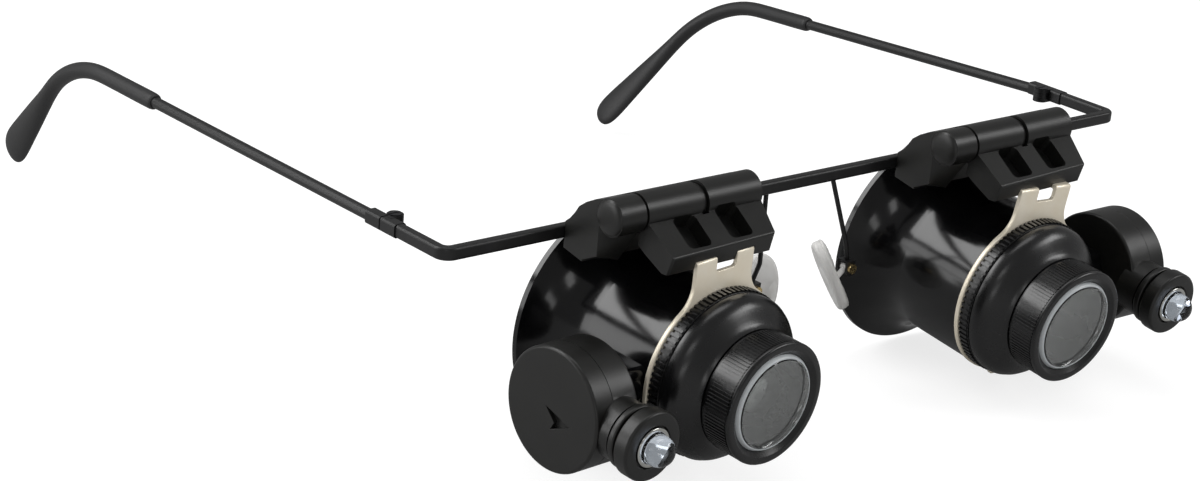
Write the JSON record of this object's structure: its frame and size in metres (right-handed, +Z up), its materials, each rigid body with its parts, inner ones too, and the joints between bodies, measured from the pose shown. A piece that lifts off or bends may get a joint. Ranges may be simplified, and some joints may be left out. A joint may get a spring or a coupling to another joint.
{
  "type": "magnifying glasses with light",
  "caption": "Spectacle frame with a flip-up magnifying loupe for each eye and a small battery lamp beside each loupe.",
  "frame": {"origin": "middle of the brow bar above the nose, on the bar's centreline", "axes": "+X to the wearer's left along the bar, +Y back to the wearer, +Z up"},
  "size_m": [0.1562, 0.1676, 0.0468],
  "materials": {
    "black_metal": "matte black coating",
    "tip_plastic": "fine matte",
    "dark_steel": "blackened",
    "steel": "bright",
    "brass_screw": "bright",
    "brass_strip": "satin",
    "pad_silicone": "clear, slightly milky",
    "clip_plastic": "satin moulded",
    "nickel_steel": "satin plated",
    "cup_gloss": "polished",
    "cup_satin": "semi-gloss",
    "lens_glass": "clear",
    "lamp_plastic": "satin",
    "led_clear": "clear"
  },
  "bodies": {
    "frame": {"front_bar": "black_metal", "right_temple_screw": "dark_steel", "right_nose_pad_arm": "black_metal", "right_nose_pad_screw": "brass_screw", "left_temple_screw": "dark_steel", "left_nose_pad_arm": "black_metal", "left_nose_pad_screw": "brass_screw"},
    "right_temple": {"right_temple_arm": "black_metal", "right_temple_tip": "tip_plastic"},
    "right_pad": {"right_nose_pad": "pad_silicone"},
    "right_clip": {"right_clip_body": "clip_plastic", "right_clip_keeper": "clip_plastic", "right_clip_screws": "dark_steel", "right_flip_pin": "steel", "right_detent_leaf": "steel"},
    "right_loupe": {"right_flip_block": "clip_plastic", "right_bracket": "nickel_steel", "right_eyecup": "cup_gloss", "right_front_cup": "cup_satin", "right_lamp_pivot_screw": "steel"},
    "right_lens_set": {"right_front_lens": "lens_glass", "right_lens_spacer": "cup_satin", "right_rear_lens": "lens_glass", "right_lens_retainer": "cup_satin"},
    "right_barrel": {"right_lens_barrel": "cup_satin"},
    "right_lamp": {"right_lamp_housing": "lamp_plastic", "right_coin_cells": "steel", "right_battery_contacts": "brass_strip"},
    "right_cap": {"right_battery_cap": "lamp_plastic"},
    "right_head": {"right_lamp_head": "lamp_plastic", "right_led": "led_clear"},
    "left_temple": {"left_temple_arm": "black_metal", "left_temple_tip": "tip_plastic"},
    "left_pad": {"left_nose_pad": "pad_silicone"},
    "left_clip": {"left_clip_body": "clip_plastic", "left_clip_keeper": "clip_plastic", "left_clip_screws": "dark_steel", "left_flip_pin": "steel", "left_detent_leaf": "steel"},
    "left_loupe": {"left_flip_block": "clip_plastic", "left_bracket": "nickel_steel", "left_eyecup": "cup_gloss", "left_front_cup": "cup_satin", "left_lamp_pivot_screw": "steel"},
    "left_lens_set": {"left_front_lens": "lens_glass", "left_lens_spacer": "cup_satin", "left_rear_lens": "lens_glass", "left_lens_retainer": "cup_satin"},
    "left_barrel": {"left_lens_barrel": "cup_satin"},
    "left_lamp": {"left_lamp_housing": "lamp_plastic", "left_coin_cells": "steel", "left_battery_contacts": "brass_strip"},
    "left_cap": {"left_battery_cap": "lamp_plastic"},
    "left_head": {"left_lamp_head": "lamp_plastic", "left_led": "led_clear"}
  },
  "joints": [
    {"name": "right_temple_fold", "type": "hinge", "parent": "frame", "child": "right_temple", "pos_m": [-0.0732, 0.0151, 0], "axis": [0, 0, -1], "range_deg": [0, 90]},
    {"name": "right_pad_rock", "type": "hinge", "parent": "frame", "child": "right_pad", "pos_m": [-0.0104, 0.0006, -0.0178], "axis": [0, 1, 0], "range_deg": [-8, 8]},
    {"name": "right_clip_slide", "type": "slide", "parent": "frame", "child": "right_clip", "axis": [1, 0, 0], "range_m": [-0.003, 0.003]},
    {"name": "right_loupe_flip", "type": "hinge", "parent": "right_clip", "child": "right_loupe", "pos_m": [-0.0365, -0.01115, 0.00565], "axis": [-1, 0, 0], "range_deg": [0, 80]},
    {"name": "right_focus_slide", "type": "slide", "parent": "right_loupe", "child": "right_lens_set", "axis": [0.0644, -0.9959, -0.0637], "range_m": [0, 0.001]},
    {"name": "right_focus_turn", "type": "hinge", "parent": "right_lens_set", "child": "right_barrel", "pos_m": [-0.0347, -0.02789, -0.02068], "axis": [0.0644, -0.9959, -0.0637], "range_deg": [0, 360]},
    {"name": "right_lamp_pivot", "type": "hinge", "parent": "right_loupe", "child": "right_lamp", "pos_m": [-0.05851, -0.01602, -0.02068], "axis": [0.9979, 0.0645, 0], "range_deg": [-25, 25]},
    {"name": "right_cap_twist", "type": "hinge", "parent": "right_lamp", "child": "right_cap", "pos_m": [-0.0635, -0.01634, -0.02068], "axis": [-0.9979, -0.0645, 0], "range_deg": [0, 30]},
    {"name": "right_head_twist", "type": "hinge", "parent": "right_lamp", "child": "right_head", "pos_m": [-0.06001, -0.03012, -0.02157], "axis": [0.0644, -0.9959, -0.0637], "range_deg": [0, 90]},
    {"name": "left_temple_fold", "type": "hinge", "parent": "frame", "child": "left_temple", "pos_m": [0.0732, 0.0151, 0], "axis": [0, 0, 1], "range_deg": [0, 80]},
    {"name": "left_pad_rock", "type": "hinge", "parent": "frame", "child": "left_pad", "pos_m": [0.0114, 0.0006, -0.0178], "axis": [0, 1, 0], "range_deg": [-8, 8]},
    {"name": "left_clip_slide", "type": "slide", "parent": "frame", "child": "left_clip", "axis": [1, 0, 0], "range_m": [-0.003, 0.003]},
    {"name": "left_loupe_flip", "type": "hinge", "parent": "left_clip", "child": "left_loupe", "pos_m": [0.03545, -0.01115, 0.00565], "axis": [-1, 0, 0], "range_deg": [0, 80]},
    {"name": "left_focus_slide", "type": "slide", "parent": "left_loupe", "child": "left_lens_set", "axis": [-0.0139, -0.9941, -0.1071], "range_m": [0, 0.001]},
    {"name": "left_focus_turn", "type": "hinge", "parent": "left_lens_set", "child": "left_barrel", "pos_m": [0.03506, -0.02734, -0.0219], "axis": [-0.0139, -0.9941, -0.1071], "range_deg": [0, 360]},
    {"name": "left_lamp_pivot", "type": "hinge", "parent": "left_loupe", "child": "left_lamp", "pos_m": [0.05825, -0.01429, -0.02132], "axis": [0.9999, -0.014, 0], "range_deg": [-25, 25]},
    {"name": "left_cap_twist", "type": "hinge", "parent": "left_lamp", "child": "left_cap", "pos_m": [0.06324, -0.01436, -0.02132], "axis": [0.9999, -0.014, 0], "range_deg": [0, 30]},
    {"name": "left_head_twist", "type": "hinge", "parent": "left_lamp", "child": "left_head", "pos_m": [0.06045, -0.02825, -0.02281], "axis": [-0.0139, -0.9941, -0.1071], "range_deg": [0, 90]}
  ],
  "couplings": [
    {"joint": "right_focus_turn", "follows": "right_focus_slide", "rad_per_m": 6283.2},
    {"joint": "left_focus_turn", "follows": "left_focus_slide", "rad_per_m": 6283.2}
  ]
}
